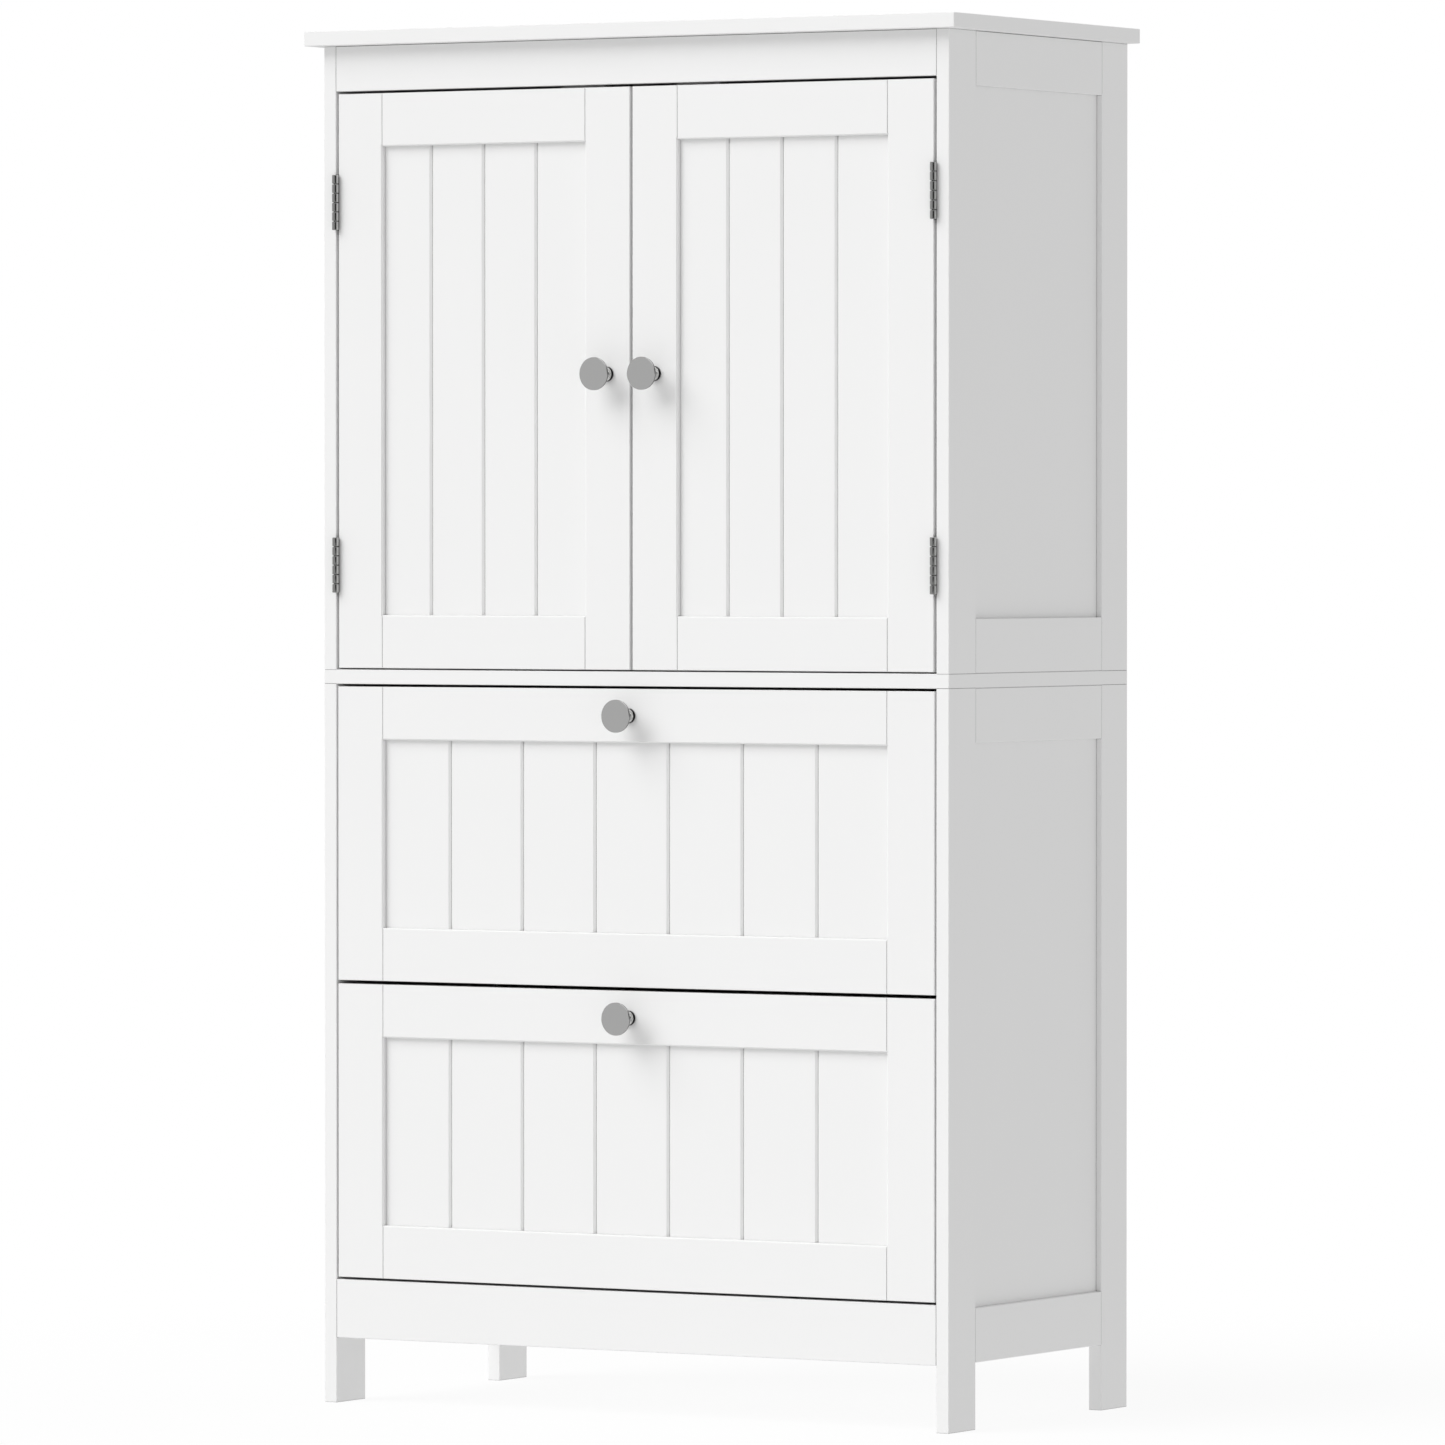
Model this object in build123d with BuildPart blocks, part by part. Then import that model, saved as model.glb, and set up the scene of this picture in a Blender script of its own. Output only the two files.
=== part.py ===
from build123d import *
from math import ceil, sqrt
import os

# Pantry cabinet in painted board: two hinged doors above two drawers, on four plain legs.
# X runs across the front, Y from the front to the back, Z up, in millimetres. The origin is
# on the floor, in the middle of the width, halfway between the knob faces and the back.

# ---- driving dimensions ---------------------------------------------------------------------
body_width = 650.0            # outside of the posts and legs
body_depth = 327.0            # front of the posts to their back
total_height = 1242.0         # floor to the top of the top board
lower_height = 652.0          # floor to the underside of the middle board
board_thickness = 13.0        # top and middle boards
top_front_overhang = 14.0     # top board past the doors and drawers
top_side_overhang = 12.7      # top board past the posts
post_thickness = 12.8         # posts, legs and side rails, across X
post_width = 48.0             # posts and legs, along Y
side_rail_height = 48.0
foot_height = 59.0            # floor to the lower edge of the apron and the side rails
apron_height = 53.0
fascia_height = 41.0
front_rail_thickness = 15.0   # fascia and apron
edge_ease = 0.5               # sanded bevel on every board that shows

# Side and back panels
side_recess = 5.5             # outer face of the posts to the side panel
side_panel_thickness = 3.0
side_groove_depth = 7.0
panel_play = 0.2              # extra width of a groove over its panel
panel_end_gap = 1.0           # groove bottom to the panel's edge
back_panel_thickness = 3.0
back_rebate = 8.0             # how far the back panel laps over each post
bottom_board_thickness = 12.0

# Doors and drawer fronts
door_side_reveal = 2.8        # beside each door and between the two
door_top_reveal = 2.5
door_bottom_reveal = 1.4
drawer_side_reveal = 1.8
drawer_top_reveal = 2.4
drawer_bottom_reveal = 2.3
drawer_gap = 3.3              # between the two drawer fronts
front_thickness = 15.0
door_stile_width = 46.6
drawer_stile_width = 48.0
front_rail_height = 48.0      # rails of the doors and drawer fronts
front_recess = 5.5            # frame face to the boarded panel
opening_bevel = 1.2           # round the front edge of each frame's opening
boarding_thickness = 5.0
front_groove_depth = 7.0
door_board_width = 55.5       # cover of one board of the door panels
drawer_board_width = 76.4
joint_shift = 2.5             # the board joints lie this far left of the panel's middle
vee_width = 4.5               # V joint between two boards, at 45 degrees

# Knobs
knob_radius = 14.7
knob_reach = 24.0             # frame face to the knob's face
knob_rim = 2.0                # thickness of the disc at its edge
knob_base_radius = 6.4
knob_base_height = 3.6
knob_neck_radius = 4.2
knob_flare = 6.5              # radius of the curve from the neck into the back of the disc
knob_edge_bevel = 0.5
door_knob_drop = 255.5        # top of the door to the knob's axis
drawer_knob_shift = 2.0       # the drawers' knobs lie this far left of the middle
screw_radius = 2.0
screw_head_radius = 4.2
screw_head_height = 2.4
screw_head_bevel = 1.0
screw_grip = 12.0             # length of screw inside the knob
knob_hole_spare = 1.0         # depth of the knob's hole past the screw
screw_clearance = 0.05        # round the screw in the knob's thread
bolt_hole_clearance = 0.25    # round the screw in the wood

# Butt hinges
hinge_height = 50.0
top_hinge_drop = 98.0         # top of the door to the hinge's middle
bottom_hinge_rise = 93.1      # bottom of the door to the hinge's middle
knuckle_count = 6
barrel_radius = 3.0
hinge_pin_radius = 1.5
running_clearance = 0.05      # knuckle bore round its pin
knuckle_gap = 0.3             # between two knuckles
barrel_clearance = 0.3        # barrel to the faces of the door and the post
leaf_thickness = 0.85
leaf_width = 13.0
leaf_hole_radius = 1.6
leaf_sink_radius = 2.4        # countersink of each screw hole, on the side away from the wood
leaf_hole_count = 2
leaf_hole_spacing = 28.0

# Shelf, catches and their fittings
shelf_thickness = 12.0
shelf_rise = 255.0            # middle board to the underside of the shelf
shelf_setback = 7.0           # back of the doors to the front of the shelf
shelf_play = 1.0              # at the ends and behind the shelf
pin_hole_radius = 2.5
pin_hole_depth = 8.0
pin_clearance = 0.05
pin_hole_pitch = 32.0
pin_hole_count = 3
pin_tongue_length = 9.0
pin_tongue_width = 10.0
pin_tongue_height = 4.0
catch_rail_thickness = 18.0
catch_width = 46.0
catch_core_width = 28.0
catch_height = 14.0
catch_depth = 15.0
catch_ear_thickness = 3.0
catch_slot_radius = 1.8
catch_slot_length = 6.0
catch_from_middle = 60.0      # middle of the cabinet to the middle of a catch
strike_width = 34.0
strike_height = 11.0
strike_thickness = 1.0
strike_gap = 0.3              # closed door's strike plate to its catch
strike_hole_radius = 1.8
strike_sink_radius = 2.6
strike_hole_spacing = 20.0
fitting_corner = 1.0          # rounding of the catches and strike plates

# Drawer boxes and runners
box_board_thickness = 12.0
box_side_gap = 3.0            # leg to the outside of the box
box_rise = 12.0               # bottom of the drawer front to the bottom of the box
box_side_height = 200.0
box_back_gap = 24.0           # back of the box to the back panel
box_bottom_thickness = 5.0
box_bottom_rise = 8.0         # lower edge of the sides to the box bottom
box_bottom_lap = 5.0          # depth of the grooves that hold the box bottom
runner_height = 17.0
runner_rise = 85.0            # lower edge of the box sides to the runner's lower edge
runner_bite = 6.0             # how far the runner stands into the side's groove
runner_slack = 0.5            # runner's face to the groove's bottom
runner_lift = 0.3             # above the runner
runner_drop = 0.5             # below the runner
runner_front_gap = 0.3        # back of the drawer front to the runner's end, which stops it
runner_back_gap = 12.0        # runner's other end to the back panel

# ---- levels and planes worked out from them -------------------------------------------------
half_width = body_width / 2
front_y = (knob_reach - body_depth) / 2
back_y = front_y + body_depth
inner_x = half_width - post_thickness
front_post_end = front_y + post_width
back_post_start = back_y - post_width
back_panel_y = back_y - back_panel_thickness

middle_top = lower_height + board_thickness
top_underside = total_height - board_thickness
fascia_low = top_underside - fascia_height
apron_top = foot_height + apron_height
bottom_board_top = foot_height + side_rail_height
rail_back_y = front_y + front_rail_thickness

door_low = middle_top + door_bottom_reveal
door_high = fascia_low - door_top_reveal
door_outer_x = inner_x - door_side_reveal
door_inner_x = door_side_reveal / 2
front_back_y = front_y + front_thickness

drawer_half_width = inner_x - drawer_side_reveal
lower_drawer_low = apron_top + drawer_bottom_reveal
upper_drawer_high = lower_height - drawer_top_reveal
drawer_height = (upper_drawer_high - lower_drawer_low - drawer_gap) / 2
lower_drawer_high = lower_drawer_low + drawer_height
upper_drawer_low = lower_drawer_high + drawer_gap

side_groove_width = side_panel_thickness + panel_play
side_groove_x = half_width - side_recess - side_panel_thickness / 2
side_panel_lap = side_groove_depth - panel_end_gap
front_groove_width = boarding_thickness + panel_play
front_groove_y = front_y + front_recess + boarding_thickness / 2
boarding_lap = front_groove_depth - panel_end_gap

axis_x = inner_x - door_side_reveal / 2
axis_y = front_y - barrel_clearance - barrel_radius
top_hinge_z = door_high - top_hinge_drop
bottom_hinge_z = door_low + bottom_hinge_rise
knuckle_pitch = (hinge_height + knuckle_gap) / knuckle_count
knuckle_length = knuckle_pitch - knuckle_gap

shelf_low = middle_top + shelf_rise
shelf_front = front_back_y + shelf_setback
shelf_back = back_panel_y - shelf_play
pin_axis_z = shelf_low - pin_tongue_height / 2
strike_z = door_high - catch_height / 2
door_knob_z = door_high - door_knob_drop
knob_hole_radius = screw_radius + screw_clearance
bolt_hole_radius = screw_radius + bolt_hole_clearance

box_outer_x = inner_x - box_side_gap
box_inner_x = box_outer_x - box_board_thickness
box_back_y = back_panel_y - box_back_gap
runner_inner_x = box_outer_x - runner_bite

os.makedirs("parts", exist_ok=True)


def keep(piece, name):
    """Label a finished piece and write it under the same name."""
    piece.part.label = name
    export_step(piece.part, f"parts/{name}.step")


def middle(low, high):
    return (low + high) / 2


def block(x_span, y_span, z_span, mode=Mode.ADD):
    """A straight length of board between two faces each way, inside the open part."""
    with BuildSketch(Plane.XY.offset(z_span[0])) as outline:
        with Locations((middle(*x_span), middle(*y_span))):
            Rectangle(abs(x_span[1] - x_span[0]), abs(y_span[1] - y_span[0]))
    extrude(outline.sketch, amount=z_span[1] - z_span[0], mode=mode)


def ease(edges):
    chamfer(edges, edge_ease)


# ---- top board and middle board -------------------------------------------------------------
with BuildPart() as top_board:
    block((-half_width - top_side_overhang, half_width + top_side_overhang),
          (front_y - top_front_overhang, back_y), (top_underside, total_height))
    ease(top_board.edges())
keep(top_board, "top_board")

with BuildPart() as middle_board:
    block((-half_width, half_width), (front_y, back_y), (lower_height, middle_top))
    ease(middle_board.edges())
keep(middle_board, "middle_board")


# ---- posts, legs and side frames ------------------------------------------------------------
def corner_post(name, side, at_front, z_low, z_high, groove_low, hole_heights):
    """One corner of the frame: grooved for the side panel, rebated at the back for its panel."""
    y_span = (front_y, front_post_end) if at_front else (back_post_start, back_y)
    inner_edge = front_post_end if at_front else back_post_start
    groove_end = inner_edge + (-side_groove_depth if at_front else side_groove_depth)
    groove_x = side * side_groove_x
    with BuildPart() as post:
        block((side * inner_x, side * half_width), y_span, (z_low, z_high))
        ease(post.edges().filter_by(Axis.Z))
        block((groove_x - side_groove_width / 2, groove_x + side_groove_width / 2),
              (inner_edge, groove_end), (groove_low, z_high), Mode.SUBTRACT)
        if not at_front:
            block((side * inner_x, side * (inner_x + back_rebate)), (back_panel_y, back_y),
                  (groove_low, z_high), Mode.SUBTRACT)
        for height in hole_heights:
            with Locations(Plane((side * inner_x, middle(*y_span), height), z_dir=(-side, 0, 0))):
                Hole(pin_hole_radius, pin_hole_depth)
    keep(post, name)


def side_rails(name, side, lower_edges, upper_edges):
    """The two rails of one side frame, with tongues for the posts and grooves for the panel."""
    groove_x = side * side_groove_x
    groove_span = (groove_x - side_groove_width / 2, groove_x + side_groove_width / 2)
    tongue_span = (front_post_end - side_groove_depth, back_post_start + side_groove_depth)
    with BuildPart() as rails:
        for z_span in (lower_edges, upper_edges):
            block((side * inner_x, side * half_width), (front_post_end, back_post_start), z_span)
        ease(rails.faces().sort_by(Axis.X)[::side][-2:].edges())
        for z_span in (lower_edges, upper_edges):
            block(groove_span, tongue_span, z_span)
        block(groove_span, tongue_span,
              (lower_edges[1] - side_groove_depth, lower_edges[1]), Mode.SUBTRACT)
        block(groove_span, tongue_span,
              (upper_edges[0], upper_edges[0] + side_groove_depth), Mode.SUBTRACT)
    keep(rails, name)


def side_panel(name, side, z_low, z_high):
    """A flat panel that floats in the grooves of one side frame."""
    outer = half_width - side_recess
    with BuildPart() as panel:
        block((side * (outer - side_panel_thickness), side * outer),
              (front_post_end - side_panel_lap, back_post_start + side_panel_lap),
              (z_low - side_panel_lap, z_high + side_panel_lap))
    keep(panel, name)


pin_hole_heights = [pin_axis_z + pin_hole_pitch * (step - pin_hole_count // 2)
                    for step in range(pin_hole_count)]
upper_rail_edges = ((middle_top, middle_top + side_rail_height),
                    (top_underside - side_rail_height, top_underside))
lower_rail_edges = ((foot_height, foot_height + side_rail_height),
                    (lower_height - side_rail_height, lower_height))

for word, side in (("left", -1), ("right", 1)):
    corner_post(f"{word}_front_post", side, True, middle_top, top_underside, middle_top,
                pin_hole_heights)
    corner_post(f"{word}_back_post", side, False, middle_top, top_underside, middle_top,
                pin_hole_heights)
    corner_post(f"{word}_front_leg", side, True, 0, lower_height, foot_height, [])
    corner_post(f"{word}_back_leg", side, False, 0, lower_height, foot_height, [])
    side_rails(f"upper_{word}_side_rails", side, *upper_rail_edges)
    side_rails(f"lower_{word}_side_rails", side, *lower_rail_edges)
    side_panel(f"upper_{word}_side_panel", side, upper_rail_edges[0][1], upper_rail_edges[1][0])
    side_panel(f"lower_{word}_side_panel", side, lower_rail_edges[0][1], lower_rail_edges[1][0])

# ---- front rails, back panels and bottom ----------------------------------------------------
with BuildPart() as fascia:
    block((-inner_x, inner_x), (front_y, rail_back_y), (fascia_low, top_underside))
    ease(fascia.faces().sort_by(Axis.Y)[0].edges())
keep(fascia, "fascia")

with BuildPart() as front_apron:
    block((-inner_x, inner_x), (front_y, rail_back_y), (foot_height, apron_top))
    ease(front_apron.faces().sort_by(Axis.Y)[0].edges())
keep(front_apron, "front_apron")

with BuildPart() as upper_back_panel:
    block((-inner_x - back_rebate, inner_x + back_rebate), (back_panel_y, back_y),
          (middle_top, top_underside))
keep(upper_back_panel, "upper_back_panel")

with BuildPart() as lower_back_panel:
    block((-inner_x - back_rebate, inner_x + back_rebate), (back_panel_y, back_y),
          (foot_height, lower_height))
keep(lower_back_panel, "lower_back_panel")

with BuildPart() as bottom_board:
    block((-inner_x, inner_x), (rail_back_y, back_panel_y),
          (bottom_board_top - bottom_board_thickness, bottom_board_top))
keep(bottom_board, "bottom_board")

# ---- shelf and its pins ---------------------------------------------------------------------
with BuildPart() as shelf:
    block((-inner_x + shelf_play, inner_x - shelf_play), (shelf_front, shelf_back),
          (shelf_low, shelf_low + shelf_thickness))
    ease(shelf.edges())
keep(shelf, "shelf")

pin_rows = (middle(front_y, front_post_end), middle(back_post_start, back_y))
with BuildPart() as shelf_pins:
    for side in (-1, 1):
        for row in pin_rows:
            with BuildSketch(Plane((side * inner_x, row, pin_axis_z), z_dir=(side, 0, 0))):
                Circle(pin_hole_radius - pin_clearance)
            extrude(amount=pin_hole_depth - pin_clearance)
            block((side * (inner_x - pin_tongue_length), side * inner_x),
                  (row - pin_tongue_width / 2, row + pin_tongue_width / 2),
                  (shelf_low - pin_tongue_height, shelf_low))
keep(shelf_pins, "shelf_pins")

# ---- catch rail and magnetic catches --------------------------------------------------------
with BuildPart() as catch_rail:
    block((-inner_x, inner_x), (rail_back_y, rail_back_y + catch_rail_thickness),
          (fascia_low, top_underside))
keep(catch_rail, "catch_rail")

catch_y = front_back_y + strike_thickness + strike_gap + catch_depth / 2
catch_hole_spacing = (catch_width + catch_core_width) / 2
with BuildPart() as door_catches:
    for side in (-1, 1):
        catch_plane = Plane((side * catch_from_middle, catch_y, fascia_low))
        with BuildSketch(catch_plane):
            RectangleRounded(catch_width, catch_depth, fitting_corner)
            with GridLocations(catch_hole_spacing, 1, 2, 1):
                SlotOverall(catch_slot_length, 2 * catch_slot_radius, rotation=90,
                            mode=Mode.SUBTRACT)
        extrude(amount=-catch_ear_thickness)
        with BuildSketch(catch_plane):
            Rectangle(catch_core_width, catch_depth)
        extrude(amount=-catch_height)
keep(door_catches, "door_catches")


# ---- framed and boarded fronts of the doors and drawers -------------------------------------
def framed_front(name, x_span, z_span, stile_width, board_width, knob_x, knob_z):
    """Two stiles, two rails and a V-jointed boarded panel between them."""
    x_low, x_high = x_span
    z_low, z_high = z_span
    opening_x = (x_low + stile_width, x_high - stile_width)
    opening_z = (z_low + front_rail_height, z_high - front_rail_height)
    y_span = (front_y, front_back_y)
    groove_y = (front_groove_y - front_groove_width / 2, front_groove_y + front_groove_width / 2)
    groove_x = (opening_x[0] - front_groove_depth, opening_x[1] + front_groove_depth)
    knob_place = Plane((knob_x, front_y, knob_z), z_dir=(0, -1, 0))

    opening_place = Plane((middle(*opening_x), front_y, middle(*opening_z)),
                          x_dir=(1, 0, 0), z_dir=(0, 1, 0))
    with BuildSketch(opening_place) as bevel_outline:
        Rectangle(opening_x[1] - opening_x[0] + 2 * opening_bevel,
                  opening_z[1] - opening_z[0] + 2 * opening_bevel)

    with BuildPart() as stiles:
        block((x_low, opening_x[0]), y_span, z_span)
        block((opening_x[1], x_high), y_span, z_span)
        ease(stiles.faces().sort_by(Axis.Y)[:2].edges())
        block((groove_x[0], opening_x[0]), groove_y, z_span, Mode.SUBTRACT)
        block((opening_x[1], groove_x[1]), groove_y, z_span, Mode.SUBTRACT)
        extrude(bevel_outline.sketch, amount=opening_bevel, taper=45, mode=Mode.SUBTRACT)
        if knob_z < opening_z[1]:
            with Locations(knob_place):
                Hole(bolt_hole_radius, front_thickness)
    keep(stiles, f"{name}_stiles")

    with BuildPart() as rails:
        block(opening_x, y_span, (z_low, opening_z[0]))
        block(opening_x, y_span, (opening_z[1], z_high))
        ease(rails.faces().sort_by(Axis.Y)[:2].edges())
        block(groove_x, groove_y, (z_low, opening_z[0]))
        block(groove_x, groove_y, (opening_z[1], z_high))
        block(groove_x, groove_y, (opening_z[0] - front_groove_depth, opening_z[0]), Mode.SUBTRACT)
        block(groove_x, groove_y, (opening_z[1], opening_z[1] + front_groove_depth), Mode.SUBTRACT)
        extrude(bevel_outline.sketch, amount=opening_bevel, taper=45, mode=Mode.SUBTRACT)
        if knob_z > opening_z[1]:
            with Locations(knob_place):
                Hole(bolt_hole_radius, front_thickness)
    keep(rails, f"{name}_rails")

    board_count = ceil((opening_x[1] - opening_x[0]) / board_width)
    panel_width = opening_x[1] - opening_x[0] + 2 * boarding_lap
    with BuildPart() as boarding:
        with BuildSketch(Plane.XY.offset(opening_z[0] - boarding_lap)):
            with Locations((middle(*opening_x), front_groove_y)):
                Rectangle(panel_width, boarding_thickness)
            with Locations((middle(*opening_x) - joint_shift, front_y + front_recess)):
                with GridLocations(board_width, 1, board_count - 1, 1):
                    Rectangle(vee_width / sqrt(2), vee_width / sqrt(2), rotation=45,
                              mode=Mode.SUBTRACT)
        extrude(amount=opening_z[1] - opening_z[0] + 2 * boarding_lap)
    keep(boarding, f"{name}_boarding")


def knob_and_screw(name, knob_x, knob_z):
    """A turned disc knob on a waisted neck, and the screw that holds it from behind."""
    rim_back = knob_reach - knob_rim
    hole_depth = screw_grip + knob_hole_spare
    knob_plane = Plane((knob_x, front_y, knob_z), x_dir=(1, 0, 0), z_dir=(0, 0, 1))
    with BuildPart() as knob:
        with BuildSketch(knob_plane) as half_section:
            with BuildLine():
                base = Polyline((knob_hole_radius, 0), (knob_base_radius, 0),
                                (knob_base_radius, -knob_base_height),
                                (knob_neck_radius, -knob_base_height))
                neck = Line(base @ 1, (knob_neck_radius, knob_flare - rim_back))
                flare = TangentArc(neck @ 1, (knob_neck_radius + knob_flare, -rim_back),
                                   tangent=neck % 1)
                Polyline(flare @ 1, (knob_radius, -rim_back), (knob_radius, -knob_reach),
                         (0, -knob_reach), (0, -hole_depth), (knob_hole_radius, -hole_depth),
                         base @ 0)
            make_face()
            chamfer(half_section.vertices().group_by(Axis.X)[-1], knob_edge_bevel)
        revolve(axis=Axis((knob_x, front_y, knob_z), (0, 1, 0)))
    keep(knob, f"{name}_knob")

    with BuildPart() as knob_screw:
        with BuildSketch(Plane((knob_x, front_back_y, knob_z), z_dir=(0, 1, 0))):
            Circle(screw_head_radius)
        extrude(amount=screw_head_height)
        chamfer(knob_screw.faces().sort_by(Axis.Y)[-1].edges(), screw_head_bevel)
        with BuildSketch(Plane((knob_x, front_back_y, knob_z), z_dir=(0, -1, 0))):
            Circle(screw_radius)
        extrude(amount=front_thickness + screw_grip)
    keep(knob_screw, f"{name}_knob_screw")


# ---- butt hinges ----------------------------------------------------------------------------
def hinge_leaf(side, hinge_z, wood_x, first_knuckle):
    """One leaf and its rolled knuckles, inside the open part.

    The leaf lies against the wood at wood_x; the other leaf has the knuckles in between.
    """
    toward_gap = side if abs(wood_x) < axis_x else -side
    leaf_low = hinge_z - hinge_height / 2
    leaf_x = (wood_x, wood_x + toward_gap * leaf_thickness)
    block(leaf_x, (front_y, front_y + leaf_width), (leaf_low, leaf_low + hinge_height))
    hole_plane = Plane((leaf_x[1], front_y + leaf_width / 2, hinge_z),
                       x_dir=(0, 1, 0), z_dir=(toward_gap, 0, 0))
    with Locations(hole_plane):
        with GridLocations(1, leaf_hole_spacing, 1, leaf_hole_count):
            CounterSinkHole(leaf_hole_radius, leaf_sink_radius, leaf_thickness)
    for step in range(first_knuckle, knuckle_count, 2):
        with BuildSketch(Plane.XY.offset(leaf_low + step * knuckle_pitch)) as knuckle:
            with Locations((side * axis_x, axis_y)):
                Circle(barrel_radius)
            with Locations((middle(*leaf_x), middle(axis_y, front_y))):
                Rectangle(leaf_thickness, front_y - axis_y)
            with Locations((side * axis_x, axis_y)):
                Circle(hinge_pin_radius + running_clearance, mode=Mode.SUBTRACT)
        extrude(knuckle.sketch, amount=knuckle_length)


with BuildPart() as post_hinge_leaves:
    for side in (-1, 1):
        for hinge_z in (bottom_hinge_z, top_hinge_z):
            hinge_leaf(side, hinge_z, side * inner_x, 0)
keep(post_hinge_leaves, "post_hinge_leaves")

with BuildPart() as hinge_pins:
    for hinge_z in (bottom_hinge_z, top_hinge_z):
        with BuildSketch(Plane.XY.offset(hinge_z - hinge_height / 2)):
            with Locations((-axis_x, axis_y), (axis_x, axis_y)):
                Circle(hinge_pin_radius)
        extrude(amount=hinge_height)
keep(hinge_pins, "hinge_pins")

# ---- the two doors --------------------------------------------------------------------------
for word, side in (("left", -1), ("right", 1)):
    door = f"{word}_door"
    door_x = sorted((side * door_inner_x, side * door_outer_x))
    knob_x = side * (door_inner_x + door_stile_width / 2)
    framed_front(door, door_x, (door_low, door_high), door_stile_width, door_board_width,
                 knob_x, door_knob_z)
    knob_and_screw(door, knob_x, door_knob_z)

    with BuildPart() as door_hinge_leaves:
        for hinge_z in (bottom_hinge_z, top_hinge_z):
            hinge_leaf(side, hinge_z, side * door_outer_x, 1)
    keep(door_hinge_leaves, f"{door}_hinge_leaves")

    plate_plane = Plane((side * catch_from_middle, front_back_y, strike_z),
                        x_dir=(1, 0, 0), z_dir=(0, 1, 0))
    with BuildPart() as strike_plate:
        with BuildSketch(plate_plane):
            RectangleRounded(strike_width, strike_height, fitting_corner)
        extrude(amount=strike_thickness)
        with Locations(plate_plane.offset(strike_thickness)):
            with GridLocations(strike_hole_spacing, 1, 2, 1):
                CounterSinkHole(strike_hole_radius, strike_sink_radius, strike_thickness)
    keep(strike_plate, f"{door}_strike_plate")


# ---- the two drawers and their runners ------------------------------------------------------
def runner_levels(front_low):
    low = front_low + box_rise + runner_rise
    return (low, low + runner_height)


def drawer_box(name, front_low):
    """Grooved sides, back and bottom, joined to the back of the drawer front."""
    box_low = front_low + box_rise
    box_high = box_low + box_side_height
    bottom_z = (box_low + box_bottom_rise, box_low + box_bottom_rise + box_bottom_thickness)
    runner_low, runner_high = runner_levels(front_low)
    groove_bottom = runner_inner_x - runner_slack

    with BuildPart() as box_sides:
        for side in (-1, 1):
            with BuildSketch(Plane.XZ.offset(-front_back_y)):
                with Locations((side * middle(box_inner_x, box_outer_x), middle(box_low, box_high))):
                    Rectangle(box_board_thickness, box_side_height)
                with Locations((side * middle(groove_bottom, box_outer_x),
                                middle(runner_low - runner_drop, runner_high + runner_lift))):
                    Rectangle(box_outer_x - groove_bottom,
                              runner_height + runner_drop + runner_lift, mode=Mode.SUBTRACT)
                with Locations((side * (box_inner_x + box_bottom_lap / 2), middle(*bottom_z))):
                    Rectangle(box_bottom_lap, box_bottom_thickness + panel_play,
                              mode=Mode.SUBTRACT)
            extrude(amount=front_back_y - box_back_y)
    keep(box_sides, f"{name}_box_sides")

    with BuildPart() as box_back:
        block((-box_inner_x, box_inner_x), (box_back_y - box_board_thickness, box_back_y),
              (bottom_z[1], box_high))
    keep(box_back, f"{name}_box_back")

    with BuildPart() as box_bottom:
        lap_x = box_inner_x + box_bottom_lap - panel_play
        block((-lap_x, lap_x), (front_back_y, box_back_y), bottom_z)
    keep(box_bottom, f"{name}_box_bottom")


drawers = (("lower_drawer", lower_drawer_low, lower_drawer_high),
           ("upper_drawer", upper_drawer_low, upper_drawer_high))
for drawer, low, high in drawers:
    rail_middle = high - front_rail_height / 2
    framed_front(drawer, (-drawer_half_width, drawer_half_width), (low, high),
                 drawer_stile_width, drawer_board_width, -drawer_knob_shift, rail_middle)
    knob_and_screw(drawer, -drawer_knob_shift, rail_middle)
    drawer_box(drawer, low)

with BuildPart() as drawer_runners:
    for side in (-1, 1):
        for drawer, low, high in drawers:
            block((side * runner_inner_x, side * inner_x),
                  (front_back_y + runner_front_gap, back_panel_y - runner_back_gap),
                  runner_levels(low))
keep(drawer_runners, "drawer_runners")
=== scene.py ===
from math import cos, pi, radians, sin, tan

import bmesh
import bpy
from bpy.props import FloatProperty, FloatVectorProperty, IntProperty, PointerProperty
from bpy.types import Operator, Panel, PropertyGroup
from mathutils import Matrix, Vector


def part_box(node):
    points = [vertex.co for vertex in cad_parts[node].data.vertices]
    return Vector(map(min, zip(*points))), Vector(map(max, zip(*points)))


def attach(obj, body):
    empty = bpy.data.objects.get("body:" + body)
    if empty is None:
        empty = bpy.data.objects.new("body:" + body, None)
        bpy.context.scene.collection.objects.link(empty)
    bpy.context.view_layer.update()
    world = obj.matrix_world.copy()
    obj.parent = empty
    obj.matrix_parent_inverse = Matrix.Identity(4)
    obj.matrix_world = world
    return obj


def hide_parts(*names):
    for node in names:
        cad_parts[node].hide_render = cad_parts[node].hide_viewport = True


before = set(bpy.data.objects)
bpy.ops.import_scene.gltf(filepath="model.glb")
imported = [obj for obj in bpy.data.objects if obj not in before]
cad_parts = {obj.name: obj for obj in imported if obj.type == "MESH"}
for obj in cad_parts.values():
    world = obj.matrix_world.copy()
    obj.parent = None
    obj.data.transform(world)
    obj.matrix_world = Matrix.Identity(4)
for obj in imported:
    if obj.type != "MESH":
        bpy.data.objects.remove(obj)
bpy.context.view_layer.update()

bl_info = {
    "name": "Pantry cabinet finish",
    "version": (1, 0, 0),
    "blender": (4, 5, 0),
    "location": "View3D > Sidebar > Cabinet",
    "description": "Lacquer, knobs, hinges, catches, screws and a studio for a framed pantry cabinet",
    "category": "Object",
}

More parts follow.
